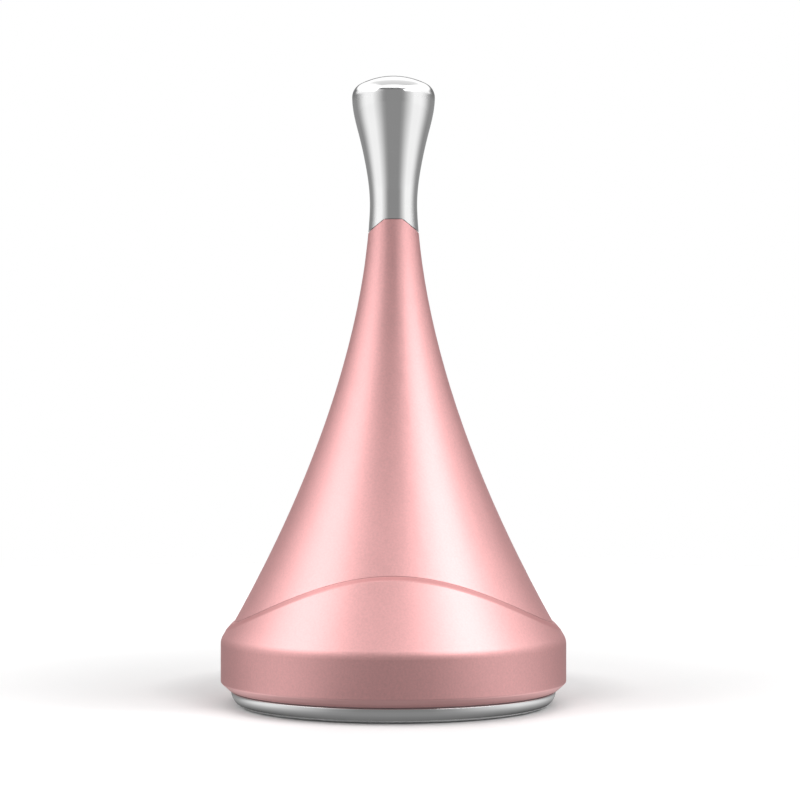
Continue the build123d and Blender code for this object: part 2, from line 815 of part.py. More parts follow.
def make_light_ring():
    """A clear ring flush with the bell, which guides the cap and carries light up from the switch board."""
    low, high = button_height - 2 * skirt_depth, button_height + 2 * skirt_depth
    tube = at_button(disc(light_ring_radius, -light_ring_depth, light_ring_depth))
    skirt = at_button(disc(skirt_outer_radius, switch_board_top, 0))
    clear = tube & bell_solid(low, high, light_ring_rise)
    clear += skirt & bell_solid(low, high, -shell_wall - glue_gap)
    clear -= at_button(disc(button_radius + running_clearance, -2 * skirt_depth, light_ring_depth))
    clear -= at_button(disc(skirt_bore_radius, -2 * skirt_depth, -light_ring_depth))
    return clear - make_indicator_leds(hole_clearance)


def make_indicator_leds(gap=0.0):
    """Two lights on the switch board under the foot of the clear ring, or their pockets with a gap."""
    middle = (skirt_bore_radius + skirt_outer_radius) / 2
    height = (switch_board_top, switch_board_top + led_height + gap)
    one = block(wide(led_depth + 2 * gap), wide(led_width + 2 * gap), height)
    return at_button(Part() + [Pos(x, 0, 0) * one for x in (-middle, middle)])


def make_charging_port():
    """The charging board, its two screws, and the socket's metal shell with its contact tongue."""
    lengths = (charging_board_front, charging_board_back)
    board = block(wide(charging_board_width), lengths, (charging_board_bottom, lug_bottom))
    for x in charging_screw_xs:
        board -= disc(m16_screw[0] + hole_clearance, 0, far, x, charging_screw_y)
    one = Rot(180, 0, 0) * screw(m16_screw, charging_screw_length)
    screws = [Pos(x, charging_screw_y, charging_board_bottom) * one for x in charging_screw_xs]
    start = socket_mouth - socket_length
    hollow_width = socket_width - 2 * socket_wall
    hollow_height = socket_height - 2 * socket_wall
    shell = socket_bar(socket_width, socket_height, start, socket_length)
    shell -= socket_bar(hollow_width, hollow_height, start, socket_length + 1)
    tongue = socket_bar(hollow_width, hollow_height, start, socket_block_length)
    tongue += block(
        wide(socket_tongue_width),
        (start, start + socket_block_length + socket_tongue_length),
        wide(socket_tongue_thickness, socket_middle),
    )
    return {
        "charging_board": board,
        "charging_board_screws": Part() + screws,
        "usb_receptacle": shell,
        "usb_tongue": tongue,
    }


def make_motor():
    """The vibration motor: its can in a rubber sleeve, its shaft, and the half-round eccentric weight."""
    can = disc(motor_radius, motor_bottom, motor_top)
    can -= disc(motor_shaft_radius + running_clearance, motor_top - motor_shaft_hold - hole_clearance, far)
    sleeve = ring(motor_radius + motor_sleeve_wall, motor_radius, motor_bottom, motor_top - motor_sleeve_drop)
    slot_top = motor_bottom + wire_slot_width / 2
    sleeve -= block(wide(wire_slot_width), (-holder_radius, 0), (motor_bottom - 1, slot_top))
    heavy_half = block(wide(far), (-far, 0), (weight_bottom, weight_top))
    weight = disc(weight_radius, weight_bottom, weight_top) & heavy_half
    weight += disc(weight_hub_radius, weight_bottom, weight_top)
    weight -= disc(motor_shaft_radius, weight_bottom - 1, weight_top + 1)
    return {
        "motor_can": can,
        "motor_sleeve": sleeve,
        "motor_shaft": disc(motor_shaft_radius, motor_top - motor_shaft_hold, shaft_top),
        "eccentric_weight": weight,
    }


def make_sensor():
    """The bead that reads the plate's temperature, in the lead slot."""
    return disc(sensor_radius, plate_floor, plate_floor + sensor_height, sensor_x, lead_slot_middle)


def wire(*points):
    """A round wire along straight runs joined by tangent arcs."""
    path = FilletPolyline(*points, radius=wire_bend)
    section = Plane(origin=path @ 0, z_dir=path % 0) * Circle(wire_radius)
    return sweep(section, path=path)


def module_lead(x):
    """One of the cooler's two wires, up through the lead slot to the front of the main board."""
    level = (pellets_bottom + pellets_top) / 2
    end = board_bottom + module_lead_rise
    return wire(
        (x, -module_side / 2 - solder_gap, level),
        (x, lead_slot_middle, level),
        (x, lead_slot_middle, end - module_lead_slant),
        (x, -board_front - wire_stand_off, end),
        (x, -board_front - solder_gap, end),
    )


def sensor_lead():
    """The sensor's wire, up through the lead slot to the foot of the main board."""
    end = board_bottom + sensor_lead_rise
    return wire(
        (sensor_x, lead_slot_middle, plate_floor + sensor_height + solder_gap),
        (sensor_x, lead_slot_middle, end - sensor_lead_slant),
        (sensor_x, -board_front - wire_stand_off, end),
        (sensor_x, -board_front - solder_gap, end),
    )


def motor_lead(x):
    """One of the motor's two wires, down the slot in the cradle's wall to the back of the main board."""
    level = motor_bottom + wire_slot_width / 4
    slot_y = -(cradle_bore + cradle_radius) / 2
    end = board_top - top_lead_drop
    return wire(
        (x, -motor_radius - solder_gap, level),
        (x, slot_y, level),
        (x, slot_y, end),
        (x, -board_back + solder_gap, end),
    )


def battery_lead():
    """The wire from the battery's upper strip down to the back of the main board."""
    turn = math.radians(positive_tab_turn)
    reach = cradle_radius + 2 * wire_radius
    x, y = reach * math.cos(turn), reach * math.sin(turn)
    end = board_top - top_lead_drop
    return wire(
        (x, y, positive_tab_bottom - solder_gap),
        (x, y, end),
        (x, -board_back + solder_gap, end),
    )


def side_run(height):
    """The last points of a wire that rounds the battery on the left and meets the main board's edge."""
    level = (board_front + board_back) / 2
    edge = board_width / 2
    outer = edge + side_reach
    return [(-outer, level, height), (-outer, -level, height), (-edge - solder_gap, -level, height)]


def switch_lead():
    """The wire from behind the switch board round to the main board."""
    local_start = Vector(switch_lead_inset, -switch_lead_inset, switch_board_bottom - solder_gap)
    start = button_plane.from_local_coords(local_start)
    turn = start - button_plane.z_dir * switch_lead_start
    return wire(start, turn, *side_run(board_bottom + switch_lead_rise))


def charging_lead():
    """The wire from the charging board up and round to the main board."""
    height = board_bottom + charging_lead_rise
    x, y = charging_lead_x, charging_board_front + charging_lead_inset
    return wire((x, y, lug_bottom + solder_gap), (x, y, height), *side_run(height))


def make_leads():
    """The wires, each along its own way from one end to the other."""
    motor_lead_xs = (-motor_lead_half_spacing, motor_lead_half_spacing)
    return {
        "module_leads": Part() + [module_lead(x) for x in module_lead_xs],
        "sensor_lead": sensor_lead(),
        "motor_leads": Part() + [motor_lead(x) for x in motor_lead_xs],
        "battery_lead": battery_lead(),
        "switch_lead": switch_lead(),
        "charging_lead": charging_lead(),
    }


def make_pieces():
    """Every piece of the massager by name."""
    pieces = {
        "handle_shell": make_handle_shell(),
        "base_collar": make_base_collar(),
        "cooling_plate": make_cooling_plate(),
        "plate_gasket": make_plate_gasket(),
        "massage_tip": make_massage_tip(),
        "tip_seal": make_tip_seal(),
        "tip_screw": make_tip_screw(),
        "insulation_ring": make_insulation_ring(),
        "heat_sink": make_heat_sink(),
        "heat_sink_screws": make_heat_sink_screws(),
        "temperature_sensor": make_sensor(),
        "inner_frame": make_inner_frame(),
        "frame_screws": make_frame_screws(),
        "main_board": make_main_board(),
        "board_screws": make_board_screws(),
        "switch_board": make_switch_board(),
        "switch_board_screws": make_switch_board_screws(),
        "light_ring": make_light_ring(),
        "indicator_leds": make_indicator_leds(),
    }
    pieces.update(make_cooler())
    pieces.update(make_battery())
    pieces.update(make_board_parts())
    pieces.update(make_switch())
    pieces.update(make_button())
    pieces.update(make_charging_port())
    pieces.update(make_motor())
    pieces.update(make_leads())
    return pieces


os.makedirs("parts", exist_ok=True)
for name, piece in make_pieces().items():
    export_step(piece, f"parts/{name}.step")
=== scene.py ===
"""The cooling facial massager as a Blender add-on: its outer pieces, its finishes and its studio.

All lengths are in metres. The object stands on the floor with +Z up its axis and its front to -Y.
"""

import json
import math

import bmesh
import bpy
from bpy.props import FloatProperty, FloatVectorProperty, IntProperty, PointerProperty
from mathutils import Matrix, Vector


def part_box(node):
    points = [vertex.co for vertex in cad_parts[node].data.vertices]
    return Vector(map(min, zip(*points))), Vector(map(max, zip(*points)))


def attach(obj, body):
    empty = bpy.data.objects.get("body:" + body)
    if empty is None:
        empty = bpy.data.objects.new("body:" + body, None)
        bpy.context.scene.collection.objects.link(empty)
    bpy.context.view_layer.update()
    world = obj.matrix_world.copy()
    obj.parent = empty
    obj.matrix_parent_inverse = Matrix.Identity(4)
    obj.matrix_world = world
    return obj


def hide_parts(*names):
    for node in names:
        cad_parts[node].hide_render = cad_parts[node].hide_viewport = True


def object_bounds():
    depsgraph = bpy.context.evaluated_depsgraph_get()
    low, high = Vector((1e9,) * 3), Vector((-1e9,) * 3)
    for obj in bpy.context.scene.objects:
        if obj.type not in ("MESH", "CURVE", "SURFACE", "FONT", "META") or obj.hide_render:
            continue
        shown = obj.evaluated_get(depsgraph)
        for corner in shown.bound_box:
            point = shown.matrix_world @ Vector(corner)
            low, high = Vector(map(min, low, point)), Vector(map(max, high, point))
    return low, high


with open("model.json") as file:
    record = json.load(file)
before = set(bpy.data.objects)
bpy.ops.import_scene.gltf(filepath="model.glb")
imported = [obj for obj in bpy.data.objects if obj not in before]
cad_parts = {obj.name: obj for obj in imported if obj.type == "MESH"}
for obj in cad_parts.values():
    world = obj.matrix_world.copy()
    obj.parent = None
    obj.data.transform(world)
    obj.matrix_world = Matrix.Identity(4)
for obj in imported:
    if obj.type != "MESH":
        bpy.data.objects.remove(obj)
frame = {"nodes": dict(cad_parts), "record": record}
cad_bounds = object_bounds()

bl_info = {
    "name": "Cooling facial massager",
    "version": (1, 0, 0),
    "blender": (4, 5, 0),
    "location": "View3D > Sidebar > Massager",
    "description": "Makes the outer pieces of a cooling facial massager, finishes every piece and lights it",
    "category": "Object",
}

recorded_colours = {row["slot"]: tuple(row["base_color"]) for row in frame["record"]["materials"]}
tip_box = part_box("massage_tip")

# How finely curves are divided: steps of a full turn, and rows along each curve of an outline
piece_steps = 192
stage_steps = 96
stem_rows = 12
knob_edge_rows = 14
dome_rows = 28
button_rows = 8
plate_edge_rows = 14

# Points nearer than this to each other are merged
merge_distance = 0.000001

# A point this near to a level or a radius counts as on it
slack = 0.00001

# An edge of the tip's lower rim climbs less than this
rim_climb = 0.0003

# Faces that meet at more than this many degrees keep a crisp edge
sharp_turn = 35.0


def length(name, description, default):
    """A size in metres for a property group."""
    return FloatProperty(name=name, description=description, default=default, unit="LENGTH", precision=5)


def amount(name, description, default):
    """A plain number for a property group."""
    return FloatProperty(name=name, description=description, default=default, min=0.0, precision=3)


def colour(name, description, default):
    """A colour for a property group."""
    return FloatVectorProperty(
        name=name, description=description, default=default, subtype="COLOR", size=3, min=0.0, max=1.0
    )


class TipSizes(bpy.types.PropertyGroup):
    """Sizes of the polished steel tip."""

    crown_radius: length("Crown radius", "Radius of the dome on top of the knob", 0.0146)
    knob_radius: length("Knob radius", "Radius of the knob at its widest", 0.0083)
    knob_edge_round: length("Knob edge", "Rounding between the dome and the knob's side", 0.003)
    swell_radius: length("Swell radius", "Radius where the stem swells into the knob", 0.0072)
    swell_rise: length("Swell rise", "Height of the swell above the end of the bell's curve", 0.0134)
    swell_slope: amount("Swell slope", "Change of radius with height at the swell", 0.2655)
    throat_radius: length("Throat radius", "Radius of the stem half way up", 0.0058)
    throat_rise: length("Throat rise", "Height of the throat above the end of the bell's curve", 0.0074)
    throat_slope: amount("Throat slope", "Change of radius with height at the throat", 0.1979)
    merge_rise: length("Merge rise", "Height above the joint up to which the stem follows the bell", 0.002)
    foot_round: length("Foot rounding", "Rounding of the stem's lower rim", 0.00006)
    spigot_radius: length("Spigot radius", "Radius of the spigot inside the neck", 0.0032)
    spigot_bottom: length("Spigot bottom", "Height of the spigot's foot", tip_box[0][2])
    groove_height: length("Groove height", "Height of the seal groove's middle", 0.09123)
    groove_width: length("Groove width", "Width of the seal groove", 0.0007)
    groove_depth: length("Groove depth", "Depth of the seal groove", 0.0006)
    hole_radius: length("Screw hole radius", "Radius of the threaded hole", 0.00127)
    hole_top: length("Screw hole top", "Height of the hole's end", 0.0922)


class PlateSizes(bpy.types.PropertyGroup):
    """Sizes of the cold steel plate."""

    radius: length("Radius", "Outer radius of the plate", 0.0325)
    edge_round: length("Edge rounding", "Rounding of the plate's edge", 0.003)
    flange_top: length("Flange top", "Height of the flange under the foot's lip", 0.003)
    flange_round: length("Flange rounding", "Rounding of the flange's upper edge", 0.00012)
    floor: length("Floor", "Thickness of the plate's contact face", 0.0024)
    floor_round: length("Floor rounding", "Rounding between the floor and the upright rim", 0.0004)
    spigot_radius: length("Spigot radius", "Outer radius of the upright rim inside the foot", 0.03145)
    spigot_wall: length("Spigot wall", "Thickness of the upright rim", 0.002)
    spigot_top: length("Spigot top", "Height of the upright rim", 0.0068)
    spigot_round: length("Spigot rounding", "Rounding of the upright rim's outer edge", 0.0002)


class BellSizes(bpy.types.PropertyGroup):
    """Sizes of the bell-shaped handle."""

    neck_radius: length("Neck radius", "Radius of the bell's narrow end", 0.0047)
    neck_height: length("Neck height", "Height at which the bell's curve runs out", 0.1018)
    skirt_radius: length("Skirt radius", "Radius of the bell at the skirt", 0.03142)
    skirt_height: length("Skirt height", "Height at which the skirt's radius is measured", 0.0176)
    flare: amount("Flare", "Power of the curve between the neck and the skirt", 1.75)
    joint_height: length("Joint height", "Height of the joint's flat middle", 0.097)
    joint_half_width: length("Joint half width", "Half the width of the joint's flat middle", 0.0018)
    joint_fall: amount("Joint fall", "Degrees by which the joint falls away beside its flat middle", 37.5)
    joint_gap: length("Joint gap", "Gap between the bell and the steel tip", 0.0001)
    arch_top: length("Arch top", "Height of the foot's arched step in the middle", 0.02755)
    arch_bow: length("Arch bow", "How far the arch falls in the first arch unit", 0.00518)
    arch_flattening: length("Arch flattening", "How far the arch's fall eases there", 0.000352)
    arch_unit: length("Arch unit", "Distance from the middle at which the bow is measured", 0.02)
    # The painted shade under the arched step: how far its middle lies below the step, and its half width
    painted_crease_shade_drop: length("Crease drop", "How far the crease lies below the arched step", 0.0004)
    painted_crease_shade_half_width: length("Crease half width", "Half the width of the crease", 0.00045)
    lip_top: length("Lip top", "Height at which the foot's wall turns in to its bevelled lip", 0.0048)
    # The painted reflection on the lip: the height over which it blends into the wall's paint, where it is
    # full, and where it ends
    painted_reflection_blend: length("Lip blend", "Height over which the lip's paint passes into the wall's", 0.0002)
    painted_reflection_full: length("Lip full", "Height down to which the lip is fully pale", 0.0042)
    painted_reflection_foot: length("Lip foot", "Height at which the pale paint of the lip ends", 0.0034)


class ButtonSizes(bpy.types.PropertyGroup):
    """Sizes of the push button, measured along its own axis from the bell's surface."""

    height: length("Height", "Height of the button's middle on the bell", 0.038)
    radius: length("Radius", "Radius of the cap", 0.0042)
    rise: length("Rise", "How far the crown stands proud", 0.0009)
    crown_radius: length("Crown radius", "Radius of the crown's dome", 0.016)
    edge_round: length("Edge rounding", "Rounding of the crown's rim", 0.00028)
    groove_drop: length("Groove drop", "Depth of the seal groove below the surface", 0.002)
    groove_width: length("Groove width", "Width of the seal groove", 0.0008)
    groove_depth: length("Groove depth", "How far the seal groove cuts into the cap", 0.00069)
    flange_radius: length("Flange radius", "Radius of the stop flange", 0.0052)
    flange_top: length("Flange top", "Level of the stop flange's upper face", -0.0043)
    flange_thickness: length("Flange thickness", "Thickness of the stop flange", 0.001)
    stem_radius: length("Stem radius", "Radius of the stem that presses the switch", 0.0012)
    stem_foot: length("Stem foot", "Level of the stem's end", -0.006)


class ContactSizes(bpy.types.PropertyGroup):
    """Sizes of the plated contacts on the charging socket's tongue."""

    count: IntProperty(name="Count", description="Contacts on each face of the tongue", default=12, min=1)
    pitch: length("Pitch", "Distance from one contact to the next", 0.0005)
    width: length("Width", "Width of a contact", 0.0003)
    reach: length("Length", "Length of a contact", 0.0032)
    thickness: length("Thickness", "Thickness of a contact, half of it sunk in the tongue", 0.0001)
    setback: length("Setback", "Distance from the tongue's tip to the contacts", 0.0005)
    blade_thickness: length("Blade thickness", "Thickness of the tongue's blade", 0.0007)


class FinishColours(bpy.types.PropertyGroup):
    """Colours of the finishes that show from outside, and how far the painted shade and the painted
    reflection cover the paint.
    """

    paint: colour("Paint", "Satin metallic paint of the bell and the foot", (0.80, 0.43, 0.43))
    button: colour("Button", "Paint of the push button", (0.82, 0.46, 0.45))
    # Painted shade: a darker, deeper pink for the groove under the arched step
    painted_crease_shade: colour("Crease", "Paint that lies deep under the foot's arched step", (0.624, 0.267, 0.267))
    painted_crease_shade_share: amount("Crease share", "How far the crease's colour covers the paint", 0.6)
    # Painted reflection: a paler pink on the lip's bevel, which stands in for the bright table mirrored there
    lip: colour("Lip", "Paint that is rubbed pale on the foot's bevelled lip", (1.0, 0.59, 0.59))
    painted_lip_reflection_share: amount("Lip share", "How far the lip's colour covers the paint", 0.85)
    steel: colour("Steel", "Polished steel of the tip and the plate", (0.90, 0.90, 0.90))
    # Painted light: the seals get a paler, pinkish grey in place of black rubber, so that the shaded gap
    # round the plate shows lighter and pinker
    rubber: colour("Rubber", "Rubber of the seals, as it shows round the plate", (0.24, 0.17, 0.17))


class StudioLevels(bpy.types.PropertyGroup):
    """Strengths of the studio's lights and cards, and its camera."""

    fill: amount("Fill", "Level of the even light from all round", 0.5)
    left: amount("Left", "Radiance of the left softbox", 1.53)
    right: amount("Right", "Radiance of the right softbox", 2.28)
    top: amount("Top", "Radiance of the softbox overhead", 1.0)
    front_card: amount("Front card", "Level of the dark card behind the camera", 0.265)
    back_card: amount("Back card", "Level of the dark card behind the object", 0.28)
    crown_card: amount("Crown card", "Level of the card high behind the object", 0.2)
    dark_strip: amount("Dark strip", "Level of the strip along the top of the front card", 0.12)
    high_wall: amount("High wall", "Level of the wall above the cards", 1.12)
    shade: amount("Overhead shade", "Level of the grey card overhead, at its front edge", 0.72)
    ceiling: amount("Ceiling", "Level of the ceiling in polished surfaces", 1.15)
    table_dark: amount("Table, dark part", "Level of the table towards the camera", 0.27)
    table_pale: amount("Table, pale part", "Level of the table at the sides", 0.97)
    camera_distance: length("Camera distance", "Distance from the handle's axis to the camera", 0.5)
    camera_height: length("Camera height", "Height of the level camera", 0.06105)
    camera_aside: length("Camera aside", "How far the camera stands to the right of the axis", 0.0013)
    lens: amount("Lens", "Focal length of the camera in millimetres", 112.1)


class Value:
    """A socket of a material's nodes that takes part in Python expressions."""

    def __init__(self, finish, node, socket):
        self.finish = finish
        self.node = node
        self.socket = socket

    def output(self, name):
        """Another output of the same node."""
        return Value(self.finish, self.node, self.node.outputs[name])

    def maths(self, operation, first, second):
        """A Math node between two values."""
        return self.finish.node("ShaderNodeMath", {"operation": operation}, {0: first, 1: second})

    def __add__(self, other):
        return self.maths("ADD", self, other)

    def __radd__(self, other):
        return self.maths("ADD", other, self)

    def __sub__(self, other):
        return self.maths("SUBTRACT", self, other)

    def __rsub__(self, other):
        return self.maths("SUBTRACT", other, self)

    def __mul__(self, other):
        return self.maths("MULTIPLY", self, other)

    def __rmul__(self, other):
        return self.maths("MULTIPLY", other, self)

    def __truediv__(self, other):
        return self.maths("DIVIDE", self, other)


class Finish:
    """A node tree being built: a material's or the world's."""

    def __init__(self, tree):
        self.tree = tree
        tree.nodes.clear()

    def node(self, kind, settings=None, inputs=None):
        """Adds a node, its settings first, then its sockets' values or links, and gives its first output."""
        made = self.tree.nodes.new(kind)
        for key, value in (settings or {}).items():
            if key == "stops":
                self.set_stops(made.color_ramp, value)
            else:
                setattr(made, key, value)
        for key, value in (inputs or {}).items():
            if isinstance(key, int):
                socket = made.inputs[key]
            else:
                socket = next(item for item in made.inputs if item.enabled and item.name == key)
            if isinstance(value, Value):
                self.tree.links.new(value.socket, socket)
            else:
                socket.default_value = value
        outputs = [item for item in made.outputs if item.enabled]
        return Value(self, made, outputs[0] if outputs else None)

    @staticmethod
    def set_stops(ramp, stops):
        """Places a colour ramp's stops, each a position and a grey level."""
        while len(ramp.elements) < len(stops):
            ramp.elements.new(1.0)
        for element, (place, level) in zip(ramp.elements, stops):
            element.position = place
            element.color = grey(level)

    def place(self, scale=(1.0, 1.0, 1.0), move=(0.0, 0.0, 0.0)):
        """Object coordinates, scaled or moved."""
        here = self.node("ShaderNodeTexCoord").output("Object")
        return self.node("ShaderNodeMapping", None, {"Vector": here, "Scale": scale, "Location": move})

    def parts(self, move=(0.0, 0.0, 0.0)):
        """Object coordinates apart, in the outputs X, Y and Z."""
        return self.node("ShaderNodeSeparateXYZ", None, {"Vector": self.place(move=move)})

    def distance(self, scale=(1.0, 1.0, 1.0), move=(0.0, 0.0, 0.0)):
        """The distance from the origin of scaled or moved Object coordinates."""
        inputs = {0: self.place(scale, move)}
        return self.node("ShaderNodeVectorMath", {"operation": "LENGTH"}, inputs).output("Value")

    def noise(self, grain, detail=2.0, stretch=(1.0, 1.0, 1.0)):
        """Noise whose grain has a size in metres, from 0 to 1."""
        inputs = {"Vector": self.place(stretch), "Scale": 1.0 / grain, "Detail": detail}
        return self.node("ShaderNodeTexNoise", None, inputs)

    def mix(self, share, first, second):
        """A colour between two colours."""
        return self.node("ShaderNodeMix", {"data_type": "RGBA"}, {"Factor": share, "A": first, "B": second})

    def bump(self, height, distance, strength):
        """A bumped normal from a height between 0 and 1 over a distance in metres."""
        inputs = {"Height": height, "Distance": distance, "Strength": strength}
        return self.node("ShaderNodeBump", None, inputs)

    def smooth_step(self, value, low, high):
        """A value that rises smoothly from 0 at a low level to 1 at a high one."""
        inputs = {"Value": value, "From Min": low, "From Max": high}
        return self.node("ShaderNodeMapRange", {"interpolation_type": "SMOOTHSTEP"}, inputs)

    def off_front(self):
        """The angle round the object's axis away from its front, in degrees."""
        parts = self.parts()
        ahead = 0.0 - parts.output("Y")
        angle = self.node("ShaderNodeMath", {"operation": "ARCTAN2"}, {0: parts.output("X"), 1: ahead})
        return self.node("ShaderNodeMath", {"operation": "ABSOLUTE"}, {0: angle}) * math.degrees(1.0)

    def ramp(self, value, reach, stops):
        """A level that follows a value through stops of (value, level), up to a reach."""
        placed = tuple((stop / reach, level) for stop, level in stops)
        return self.node("ShaderNodeValToRGB", {"stops": placed}, {0: value / reach})

    def glow(self, level, cover):
        """Light of a level where the cover is 1, and clear where it is 0."""
        light = self.node("ShaderNodeEmission", None, {"Color": grey(1.0), "Strength": level})
        clear = self.node("ShaderNodeBsdfTransparent")
        both = self.node("ShaderNodeMixShader", None, {0: cover, 1: clear, 2: light})
        self.node("ShaderNodeOutputMaterial", None, {"Surface": both})

    def surface(self, **sockets):
        """The principled shader on the material's output."""
        inputs = {name.replace("_", " "): value for name, value in sockets.items()}
        shader = self.node("ShaderNodeBsdfPrincipled", None, inputs)
        self.node("ShaderNodeOutputMaterial", None, {"Surface": shader})


def grey(level):
    """A grey with four parts, from black at 0 to white at 1."""
    return (level, level, level, 1.0)


def shade_of(base, level):
    """A colour with four parts, lighter or darker than a base colour."""
    return (*[min(part * level, 1.0) for part in base], 1.0)


def new_finish(name):
    """An empty material and the builder of its nodes."""
    material = bpy.data.materials.new(f"{name}_finish")
    material.use_nodes = True
    return material, Finish(material.node_tree)


def painted_shade_under_arch(finish, bell):
    """Painted shade: a soft band along the foot's arched step, 1 in its middle, where the groove under the
    step is painted darker.
    """
    parts = finish.parts()
    share = parts.output("X") / bell.arch_unit
    square = share * share
    crest = bell.arch_top - bell.arch_bow * square + bell.arch_flattening * (square * square)
    off = (crest - parts.output("Z") - bell.painted_crease_shade_drop) / bell.painted_crease_shade_half_width
    return 1.0 - finish.smooth_step(off * off, 0.0, 1.0)


def painted_reflection_on_lip(finish, bell):
    """Painted reflection: a soft band along the upper part of the foot's bevelled lip, 1 in its middle, where
    the paint is painted paler.
    """
    height = finish.parts().output("Z")
    below_wall = 1.0 - finish.smooth_step(height, bell.lip_top, bell.lip_top + bell.painted_reflection_blend)
    return below_wall * finish.smooth_step(height, bell.painted_reflection_foot, bell.painted_reflection_full)


def metallic_paint(name, base, painted_light_and_shade=None):
    """Satin metallic paint: fine flake that sparkles softly under an even skin.

    The hook, where there is one, takes the nodes and the paint's tone, and gives the tone with painted light
    and shade in places.
    """
    material, finish = new_finish(name)
    flake = finish.noise(grain=0.0004)
    cloud = finish.noise(grain=0.009)
    tone = finish.mix(flake * 0.8 + cloud * 0.2, shade_of(base, 0.85), shade_of(base, 1.15))
    if painted_light_and_shade:
        tone = painted_light_and_shade(finish, tone)
    finish.surface(
        Base_Color=tone,
        Metallic=0.86,
        Roughness=0.43 + cloud * 0.04 + flake * 0.03,
        Normal=finish.bump(flake, distance=0.00002, strength=0.35),
    )
    return material


def bell_paint(name, colours, bell):
    """The paint of the bell and the foot, with painted shade under the arched step and a painted reflection
    on the lip.
    """

    # Painted shade under the arched step and a painted reflection on the lip
    def painted_light_and_shade(finish, tone):
        # Painted shade: darker pink in a soft band under the arched step
        deep = painted_shade_under_arch(finish, bell) * colours.painted_crease_shade_share
        tone = finish.mix(deep, tone, shade_of(colours.painted_crease_shade, 1.0))
        # Painted reflection: paler pink on the lip's bevel
        pale = painted_reflection_on_lip(finish, bell) * colours.painted_lip_reflection_share
        return finish.mix(pale, tone, shade_of(colours.lip, 1.0))

    return metallic_paint(name, colours.paint, painted_light_and_shade)


def polished_metal(name, base, roughness):
    """Turned and polished metal: fine lines round the axis under a bright polish."""
    material, finish = new_finish(name)
    lines = finish.noise(grain=0.0004, stretch=(0.03, 0.03, 1.0))
    haze = finish.noise(grain=0.006, detail=3.0)
    tone = finish.mix(haze, shade_of(base, 0.97), shade_of(base, 1.03))
    finish.surface(
        Base_Color=tone,
        Metallic=1.0,
        Roughness=roughness + haze * 0.03 + lines * 0.02,
        Normal=finish.bump(lines, distance=0.000001, strength=0.5),
    )
    return material


def plain_metal(name, base, roughness, grain, stretch):
    """Worked metal such as plating, drawn steel or machined aluminium, with marks of a size."""
    material, finish = new_finish(name)
    marks = finish.noise(grain, 3.0, stretch)
    stain = finish.noise(grain=0.004)
    tone = finish.mix(stain, shade_of(base, 0.9), shade_of(base, 1.08))
    finish.surface(
        Base_Color=tone,
        Metallic=1.0,
        Roughness=roughness + marks * 0.15,
        Normal=finish.bump(marks, distance=0.00002, strength=0.4),
    )
    return material


def moulded(name, base, roughness, grain, depth):
    """Plastic, rubber, ceramic or foam: a grain of a size and depth, and a slight mottle."""
    material, finish = new_finish(name)
    pores = finish.noise(grain, 3.0)
    patch = finish.noise(grain * 12.0)
    tone = finish.mix(patch * 0.7 + pores * 0.3, shade_of(base, 0.92), shade_of(base, 1.08))
    finish.surface(
        Base_Color=tone,
        Roughness=roughness + patch * 0.08,
        Normal=finish.bump(pores, depth, strength=0.6),
    )
    return material


def milky_clear(name, base):
    """A milky light guide: white-filled clear plastic with a faint cloud in it."""
    material, finish = new_finish(name)
    cloud = finish.noise(grain=0.003, detail=1.0)
    finish.surface(
        Base_Color=finish.mix(cloud, shade_of(base, 0.97), shade_of(base, 1.03)),
        Roughness=0.3 + cloud * 0.06,
        Subsurface_Weight=0.3,
        Subsurface_Scale=0.0006,
        IOR=1.49,
        Normal=finish.bump(cloud, distance=0.000004, strength=0.3),
    )
    return material


def circuit_board(name, base):
    """Solder mask over copper tracks: straight runs stand slightly proud and paler."""
    material, finish = new_finish(name)
    squares = {"feature": "F1", "distance": "CHEBYCHEV"}
    squares_per_metre = 900.0
    spread = {"Vector": finish.place(), "Scale": squares_per_metre, "Randomness": 0.6}
    cells = finish.node("ShaderNodeTexVoronoi", squares, spread)
    tracks = finish.node("ShaderNodeValToRGB", {"stops": ((0.32, 0.0), (0.36, 1.0))}, {0: cells})
    mottle = finish.noise(grain=0.003)
    tone = finish.mix(tracks, shade_of(base, 0.85), shade_of(base, 1.35))
    finish.surface(
        Base_Color=tone,
        Roughness=0.28 + mottle * 0.12,
        Coat_Weight=0.4,
        Normal=finish.bump(tracks, distance=0.00004, strength=0.7),
    )
    return material


# Roughness, grain and stretch of each worked metal's marks
metal_marks = {
    "zinc_screw": (0.3, 0.0003, (1.0, 1.0, 1.0)),
    "plain_aluminium": (0.38, 0.0005, (1.0, 6.0, 1.0)),
    "socket_steel": (0.25, 0.0004, (4.0, 0.5, 4.0)),
    "motor_steel": (0.22, 0.0004, (5.0, 5.0, 0.3)),
    "weight_brass": (0.34, 0.00025, (1.0, 1.0, 1.0)),
}

# Roughness, grain and depth of each moulded or soft finish
moulded_grains = {
    "black_rubber": (0.62, 0.0003, 0.00002),
    "thermal_pad": (0.7, 0.0004, 0.00003),
    "white_ceramic": (0.55, 0.0003, 0.00001),
    "semiconductor": (0.45, 0.0003, 0.00002),
    "grey_foam": (0.9, 0.0005, 0.00015),
    "frame_plastic": (0.5, 0.0004, 0.00002),
    "battery_wrap": (0.28, 0.0015, 0.00001),
    "chip_black": (0.55, 0.0002, 0.00001),
    "capacitor_tan": (0.4, 0.0002, 0.00001),
    "switch_red": (0.35, 0.0003, 0.00001),
    "led_lens": (0.15, 0.0004, 0.000005),
    "red_wire": (0.42, 0.0005, 0.00001),
    "black_wire": (0.42, 0.0005, 0.00001),
}


